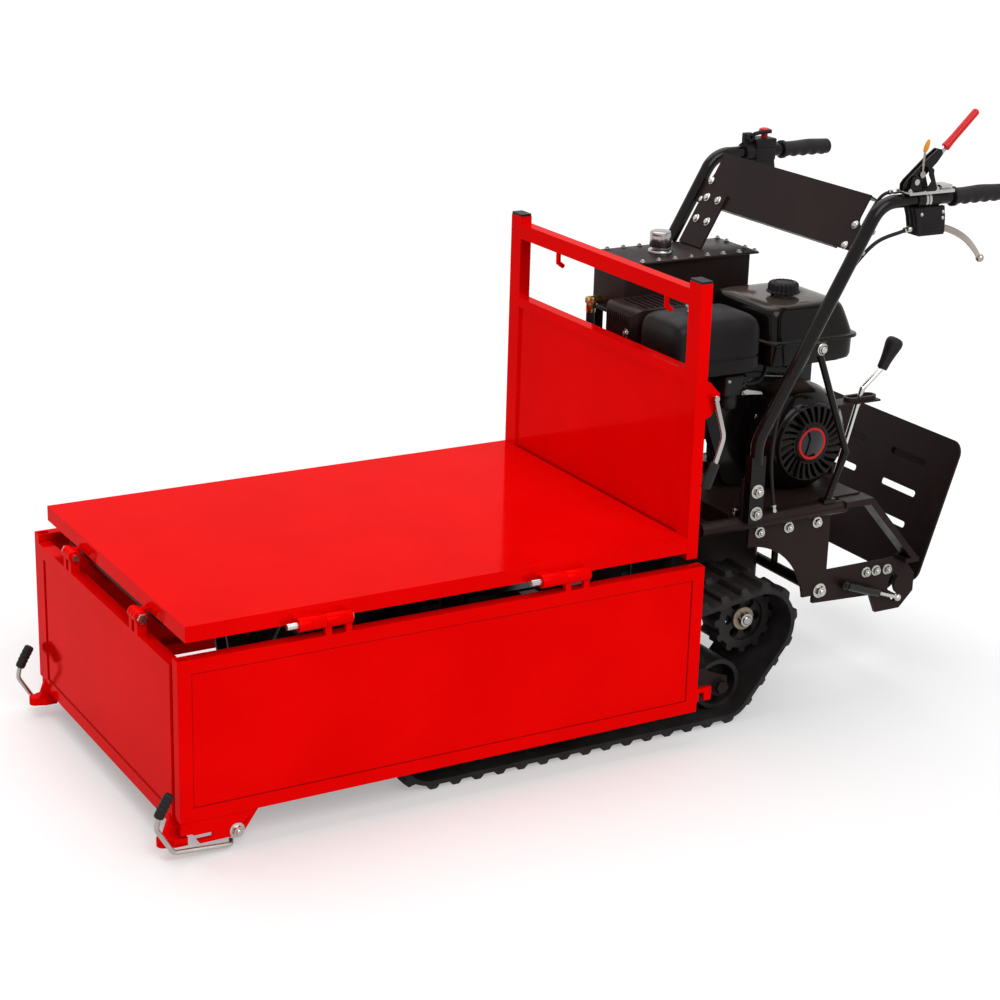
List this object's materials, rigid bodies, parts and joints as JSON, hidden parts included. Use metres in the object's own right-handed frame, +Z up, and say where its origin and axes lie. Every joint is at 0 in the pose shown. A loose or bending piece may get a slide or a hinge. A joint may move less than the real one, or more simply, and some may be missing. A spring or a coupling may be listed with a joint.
{
  "type": "tracked power carrier",
  "caption": "Walk-behind tracked carrier with a tipping flat bed, fold-down side and front panels, a petrol engine, an oil tank, handlebars and a folding operator platform.",
  "frame": {"origin": "ground plane under the middle of the object's box", "axes": "+X forward, the way it drives, +Y left, +Z up"},
  "size_m": [1.8751, 0.7546, 1.2053],
  "materials": {
    "red_paint": "gloss red enamel",
    "black_paint": "semi-gloss black enamel",
    "black_cast": "black painted casting",
    "black_plastic": "moulded black plastic",
    "tank_black": "gloss black skin over a filled tank",
    "dark_iron": "dark cast wheels and pulleys",
    "track_rubber": "matt black rubber",
    "bright_steel": "zinc or chrome plated steel",
    "hose": "black hose with brass ends",
    "red_plastic": "red moulded plastic",
    "orange_plastic": "orange moulded plastic"
  },
  "bodies": {
    "chassis": {"chassis_frame": "black_paint", "side_rails": "black_paint", "side_plates": "black_paint", "track_beams": "black_paint", "gearbox": "black_cast", "frame_bolts": "bright_steel", "track_belt_left": "track_rubber", "track_belt_right": "track_rubber", "crankcase": "black_cast", "recoil_cover": "black_cast", "fuel_tank": "tank_black", "air_cleaner": "tank_black", "muffler": "black_paint", "drive_belt": "track_rubber", "oil_tank": "black_paint", "oil_tank_lid": "black_paint", "oil_hose": "hose", "handlebars": "black_paint", "cross_panel": "black_paint", "brace_rods": "black_paint", "handle_grips": "track_rubber", "control_housings": "black_plastic", "control_cables": "track_rubber"},
    "bed": {"deck_sheet": "red_paint", "deck_frame": "black_paint", "headboard": "red_paint", "post_caps": "black_plastic", "hinge_pins": "bright_steel"},
    "shift": {"gear_lever": "bright_steel", "gear_knob": "black_plastic"},
    "side_panel_left": {"side_panel_left": "red_paint"},
    "side_panel_right": {"side_panel_right": "red_paint"},
    "front_panel": {"front_panel": "red_paint"},
    "corner_latch_left": {"corner_latch_left": "bright_steel"},
    "corner_latch_right": {"corner_latch_right": "bright_steel"},
    "bed_latch_left": {"bed_latch_left": "bright_steel"},
    "bed_latch_right": {"bed_latch_right": "bright_steel"},
    "sprocket_left": {"sprocket_left": "dark_iron"},
    "sprocket_right": {"sprocket_right": "dark_iron"},
    "front_idler_left": {"front_idler_left": "dark_iron"},
    "front_idler_right": {"front_idler_right": "dark_iron"},
    "rear_roller_left": {"rear_roller_left": "dark_iron"},
    "rear_roller_right": {"rear_roller_right": "dark_iron"},
    "mid_roller_left": {"mid_roller_left": "dark_iron"},
    "mid_roller_right": {"mid_roller_right": "dark_iron"},
    "fuel_cap": {"fuel_cap": "black_plastic"},
    "drive_pulley": {"drive_pulley": "dark_iron"},
    "gearbox_pulley": {"gearbox_pulley": "dark_iron"},
    "filler_cap": {"filler_cap": "bright_steel"},
    "ram_barrel": {"ram_barrel": "dark_iron"},
    "ram_rod": {"ram_rod": "bright_steel"},
    "clutch_lever": {"clutch_lever": "red_plastic"},
    "lock_tab": {"lock_tab": "orange_plastic"},
    "steering_lever_left": {"steering_lever_left": "bright_steel"},
    "steering_lever_right": {"steering_lever_right": "bright_steel"},
    "throttle_lever": {"throttle_lever": "black_plastic"},
    "stop_button": {"stop_button": "red_plastic"},
    "foot_platform": {"foot_platform": "black_paint"},
    "strut_barrel": {"strut_barrel": "dark_iron"},
    "strut_rod": {"strut_rod": "bright_steel"}
  },
  "joints": [
    {"name": "bed_tip", "type": "hinge", "parent": "chassis", "child": "bed", "pos_m": [0.76, 0, 0.37], "axis": [0, 1, 0], "range_deg": [0, 45]},
    {"name": "side_left_fold", "type": "hinge", "parent": "bed", "child": "side_panel_left", "pos_m": [0, 0.363, 0.402], "axis": [1, 0, 0], "range_deg": [0, 180]},
    {"name": "side_right_fold", "type": "hinge", "parent": "bed", "child": "side_panel_right", "pos_m": [0, -0.363, 0.402], "axis": [-1, 0, 0], "range_deg": [0, 180]},
    {"name": "front_fold", "type": "hinge", "parent": "bed", "child": "front_panel", "pos_m": [0.876, 0, 0.391], "axis": [0, -1, 0], "range_deg": [0, 180]},
    {"name": "corner_latch_left_turn", "type": "hinge", "parent": "side_panel_left", "child": "corner_latch_left", "pos_m": [0.774, 0.36, 0.035], "axis": [0, -1, 0], "range_deg": [0, 5]},
    {"name": "bed_latch_left_turn", "type": "hinge", "parent": "bed", "child": "bed_latch_left", "pos_m": [-0.215, 0.352, 0.704], "axis": [0, 1, 0], "range_deg": [0, 85]},
    {"name": "sprocket_left_spin", "type": "hinge", "parent": "chassis", "child": "sprocket_left", "pos_m": [-0.383, 0.232, 0.197], "axis": [0, 1, 0], "continuous": true},
    {"name": "front_idler_left_spin", "type": "hinge", "parent": "chassis", "child": "front_idler_left", "pos_m": [0.357, 0.232, 0.085], "axis": [0, 1, 0], "continuous": true},
    {"name": "rear_roller_left_spin", "type": "hinge", "parent": "chassis", "child": "rear_roller_left", "pos_m": [-0.311, 0.232, 0.075], "axis": [0, 1, 0], "continuous": true},
    {"name": "mid_roller_left_spin", "type": "hinge", "parent": "chassis", "child": "mid_roller_left", "pos_m": [0.026, 0.232, 0.0523], "axis": [0, 1, 0], "continuous": true},
    {"name": "steering_left_squeeze", "type": "hinge", "parent": "chassis", "child": "steering_lever_left", "pos_m": [-0.78, 0.283, 0.974], "axis": [0, 1, 0], "range_deg": [0, 20], "stiffness_Nm_per_rad": 2, "springref_deg": -17.19},
    {"name": "corner_latch_right_turn", "type": "hinge", "parent": "side_panel_right", "child": "corner_latch_right", "pos_m": [0.774, -0.36, 0.035], "axis": [0, -1, 0], "range_deg": [0, 5]},
    {"name": "bed_latch_right_turn", "type": "hinge", "parent": "bed", "child": "bed_latch_right", "pos_m": [-0.215, -0.352, 0.704], "axis": [0, 1, 0], "range_deg": [0, 85]},
    {"name": "sprocket_right_spin", "type": "hinge", "parent": "chassis", "child": "sprocket_right", "pos_m": [-0.383, -0.232, 0.197], "axis": [0, 1, 0], "continuous": true},
    {"name": "front_idler_right_spin", "type": "hinge", "parent": "chassis", "child": "front_idler_right", "pos_m": [0.357, -0.232, 0.085], "axis": [0, 1, 0], "continuous": true},
    {"name": "rear_roller_right_spin", "type": "hinge", "parent": "chassis", "child": "rear_roller_right", "pos_m": [-0.311, -0.232, 0.075], "axis": [0, 1, 0], "continuous": true},
    {"name": "mid_roller_right_spin", "type": "hinge", "parent": "chassis", "child": "mid_roller_right", "pos_m": [0.026, -0.232, 0.0523], "axis": [0, 1, 0], "continuous": true},
    {"name": "steering_right_squeeze", "type": "hinge", "parent": "chassis", "child": "steering_lever_right", "pos_m": [-0.78, -0.283, 0.974], "axis": [0, 1, 0], "range_deg": [0, 20], "stiffness_Nm_per_rad": 2, "springref_deg": -17.19},
    {"name": "crank_spin", "type": "hinge", "parent": "chassis", "child": "drive_pulley", "pos_m": [-0.57, 0, 0.527], "axis": [0, 1, 0], "continuous": true},
    {"name": "input_spin", "type": "hinge", "parent": "chassis", "child": "gearbox_pulley", "pos_m": [-0.53, 0, 0.305], "axis": [0, 1, 0], "continuous": true},
    {"name": "ram_swing", "type": "hinge", "parent": "chassis", "child": "ram_barrel", "pos_m": [0.61, 0, 0.135], "axis": [0, 1, 0], "range_deg": [0, 22]},
    {"name": "ram_stroke", "type": "slide", "parent": "ram_barrel", "child": "ram_rod", "axis": [-0.4563, 0, 0.8898], "range_m": [0, 0.171]},
    {"name": "clutch_squeeze", "type": "hinge", "parent": "chassis", "child": "clutch_lever", "pos_m": [-0.705, 0.283, 1.071], "axis": [0, -1, 0], "range_deg": [0, 35], "stiffness_Nm_per_rad": 3, "springref_deg": -28.65},
    {"name": "lock_tab_turn", "type": "hinge", "parent": "clutch_lever", "child": "lock_tab", "pos_m": [-0.722, 0.283, 1.084], "axis": [0, 1, 0], "range_deg": [0, 30]},
    {"name": "throttle_turn", "type": "hinge", "parent": "chassis", "child": "throttle_lever", "pos_m": [-0.717, -0.272, 1.067], "axis": [0, 1, 0], "range_deg": [0, 60]},
    {"name": "stop_press", "type": "slide", "parent": "chassis", "child": "stop_button", "axis": [0, 0, -1], "range_m": [0, 0.004], "stiffness_N_per_m": 300, "springref_m": -0.002},
    {"name": "gear_shift", "type": "hinge", "parent": "chassis", "child": "shift", "pos_m": [-0.707, 0.1, 0.354], "axis": [0, 1, 0], "range_deg": [-5, 5]},
    {"name": "fuel_cap_turn", "type": "hinge", "parent": "chassis", "child": "fuel_cap", "pos_m": [-0.56, 0.085, 0.818], "axis": [0, 0, 1], "range_deg": [0, 90]},
    {"name": "filler_cap_turn", "type": "hinge", "parent": "chassis", "child": "filler_cap", "pos_m": [-0.43, -0.175, 0.858], "axis": [0, 0, 1], "range_deg": [0, 90]},
    {"name": "platform_fold", "type": "hinge", "parent": "chassis", "child": "foot_platform", "pos_m": [-0.808, 0, 0.2], "axis": [0, -1, 0], "range_deg": [0, 72]},
    {"name": "strut_swing", "type": "hinge", "parent": "chassis", "child": "strut_barrel", "pos_m": [-0.636, 0.263, 0.228], "axis": [0, 1, 0], "range_deg": [0, 17]},
    {"name": "strut_stroke", "type": "slide", "parent": "strut_barrel", "child": "strut_rod", "axis": [-0.9426, 0, -0.3338], "range_m": [-0.0135, 0]}
  ],
  "couplings": [
    {"joint": "ram_swing", "follows": "bed_tip", "ratio": 0.478},
    {"joint": "ram_stroke", "follows": "bed_tip", "m_per_rad": 0.21727},
    {"joint": "input_spin", "follows": "crank_spin", "ratio": 0.61722},
    {"joint": "strut_swing", "follows": "platform_fold", "ratio": 0.224},
    {"joint": "strut_stroke", "follows": "platform_fold", "m_per_rad": -0.01035},
    {"joint": "front_idler_left_spin", "follows": "sprocket_left_spin", "ratio": 1.1587},
    {"joint": "rear_roller_left_spin", "follows": "sprocket_left_spin", "ratio": 1.3774},
    {"joint": "mid_roller_left_spin", "follows": "sprocket_left_spin", "ratio": 2.4333},
    {"joint": "front_idler_right_spin", "follows": "sprocket_right_spin", "ratio": 1.1587},
    {"joint": "rear_roller_right_spin", "follows": "sprocket_right_spin", "ratio": 1.3774},
    {"joint": "mid_roller_right_spin", "follows": "sprocket_right_spin", "ratio": 2.4333}
  ]
}
